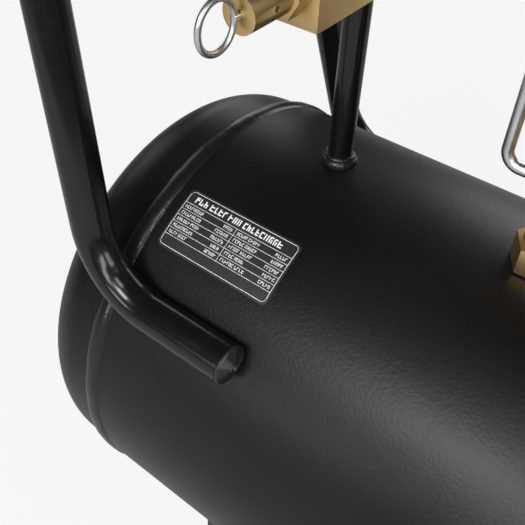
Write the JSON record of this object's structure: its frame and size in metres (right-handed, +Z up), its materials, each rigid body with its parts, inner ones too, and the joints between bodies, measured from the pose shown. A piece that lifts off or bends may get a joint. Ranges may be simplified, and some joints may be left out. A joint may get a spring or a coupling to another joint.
{
  "type": "air compressor",
  "caption": "Wheeled oil-free air compressor: twin-cylinder pump, motor and controls on a horizontal domed tank with a bent tube pull handle.",
  "frame": {"origin": "on the floor, under the middle of the whole machine's box", "axes": "+X along the tank from the handle end to the pump end, +Y to the back, +Z up"},
  "size_m": [0.5892, 0.2816, 0.53],
  "materials": {
    "tank_paint": "semi-matte fine-grained black powder coat",
    "handle_paint": "glossy black powder coat over bent tube",
    "frame_paint": "satin black powder coat on sheet steel",
    "label": "satin printed vinyl, dark grey with white rules",
    "plug_plastic": "black moulded plastic",
    "foam": "closed-cell foam grip",
    "black_plastic": "black moulded plastic with a fine spark-eroded grain",
    "grey_plastic": "dark grey moulded plastic",
    "red_plastic": "red moulded plastic",
    "brass": "machined brass",
    "plated_steel": "bright zinc plating",
    "bare_steel": "ground steel",
    "cast_aluminium": "die-cast, bead-blasted",
    "turned_aluminium": "turned",
    "copper": "enamelled copper wire",
    "tube_aluminium": "bent drawn tube",
    "black_rubber": "moulded rubber",
    "tyre_rubber": "ribbed solid rubber",
    "dial_white": "printed dial",
    "clear": "clear lens"
  },
  "bodies": {
    "frame": {"tank_shell": "tank_paint", "left_tank_head": "tank_paint", "right_tank_head": "tank_paint", "weld_beads": "tank_paint", "rating_label": "label", "handle_tube": "handle_paint", "handle_plugs": "plug_plastic", "handle_grip": "foam", "riser_pipe": "handle_paint", "manifold": "brass", "switch_base": "grey_plastic", "switch_cover": "black_plastic", "cable_glands": "black_plastic", "safety_valve": "brass", "gauge_cases": "black_plastic", "gauge_dials": "dial_white", "gauge_glasses": "clear", "regulator": "cast_aluminium", "coupler": "plated_steel", "unloader_tube": "tube_aluminium", "check_valve": "brass", "discharge_pipe": "tube_aluminium", "pump_deck": "frame_paint", "isolators": "black_rubber", "mount_bolts": "plated_steel", "left_crankcase": "cast_aluminium", "right_crankcase": "cast_aluminium", "stator": "bare_steel", "windings": "copper", "capacitor": "black_plastic", "shaft_bearings": "bare_steel", "cylinders": "turned_aluminium", "valve_plates": "bare_steel", "cylinder_heads": "cast_aluminium", "intake_filters": "black_plastic", "pump_bolts": "plated_steel", "fan_guards": "black_plastic", "axle_lugs": "frame_paint", "axle": "plated_steel", "axle_caps": "plated_steel", "foot_bracket": "frame_paint", "rubber_feet": "black_rubber", "drain_valve": "brass"},
    "front_wheel": {"front_tyre": "tyre_rubber", "front_hub": "grey_plastic"},
    "rear_wheel": {"rear_tyre": "tyre_rubber", "rear_hub": "grey_plastic"},
    "motor_rotor": {"rotor": "bare_steel", "shaft": "bare_steel", "eccentrics": "cast_aluminium", "cooling_fans": "black_plastic"},
    "left_piston_body": {"left_piston": "turned_aluminium"},
    "right_piston_body": {"right_piston": "turned_aluminium"},
    "power_knob": {"switch_knob": "red_plastic"},
    "pressure_knob": {"regulator_knob": "black_plastic"},
    "sleeve": {"coupler_sleeve": "plated_steel"},
    "relief_ring": {"safety_ring": "plated_steel"},
    "drain_wing": {"drain_handle": "brass"},
    "tank_pointer": {"tank_needle": "red_plastic"},
    "outlet_pointer": {"outlet_needle": "red_plastic"}
  },
  "joints": [
    {"name": "front_wheel_spin", "type": "hinge", "parent": "frame", "child": "front_wheel", "pos_m": [0.1675, -0.118, 0.06], "axis": [0, 1, 0], "continuous": true},
    {"name": "rear_wheel_spin", "type": "hinge", "parent": "frame", "child": "rear_wheel", "pos_m": [0.1675, 0.118, 0.06], "axis": [0, 1, 0], "continuous": true},
    {"name": "motor_spin", "type": "hinge", "parent": "frame", "child": "motor_rotor", "pos_m": [0.0935, 0, 0.403], "axis": [1, 0, 0], "continuous": true},
    {"name": "left_piston_slide", "type": "slide", "parent": "frame", "child": "left_piston_body", "axis": [0, 0, 1], "range_m": [-0.016, 0]},
    {"name": "right_piston_slide", "type": "slide", "parent": "frame", "child": "right_piston_body", "axis": [0, 0, 1], "range_m": [0, 0.016]},
    {"name": "power_knob_pull", "type": "slide", "parent": "frame", "child": "power_knob", "axis": [0, 0, 1], "range_m": [0, 0.006]},
    {"name": "pressure_knob_turn", "type": "hinge", "parent": "frame", "child": "pressure_knob", "pos_m": [-0.1712, 0.0954, 0.44], "axis": [0, 0, 1], "range_deg": [-720, 720]},
    {"name": "coupler_sleeve_slide", "type": "slide", "parent": "frame", "child": "sleeve", "axis": [-1, 0, 0], "range_m": [0, 0.006], "stiffness_N_per_m": 1500},
    {"name": "relief_ring_pull", "type": "slide", "parent": "frame", "child": "relief_ring", "axis": [0, -1, 0], "range_m": [0, 0.004], "stiffness_N_per_m": 1500},
    {"name": "drain_wing_turn", "type": "hinge", "parent": "frame", "child": "drain_wing", "pos_m": [0, 0, 0.05], "axis": [0, 0, 1], "range_deg": [0, 540]},
    {"name": "tank_pointer_turn", "type": "hinge", "parent": "frame", "child": "tank_pointer", "pos_m": [-0.2092, -0.0166, 0.41], "axis": [1, 0, 0], "range_deg": [0, 270], "stiffness_Nm_per_rad": 0.0005},
    {"name": "outlet_pointer_turn", "type": "hinge", "parent": "frame", "child": "outlet_pointer", "pos_m": [-0.2092, 0.0954, 0.41], "axis": [1, 0, 0], "range_deg": [0, 270], "stiffness_Nm_per_rad": 0.0005}
  ]
}
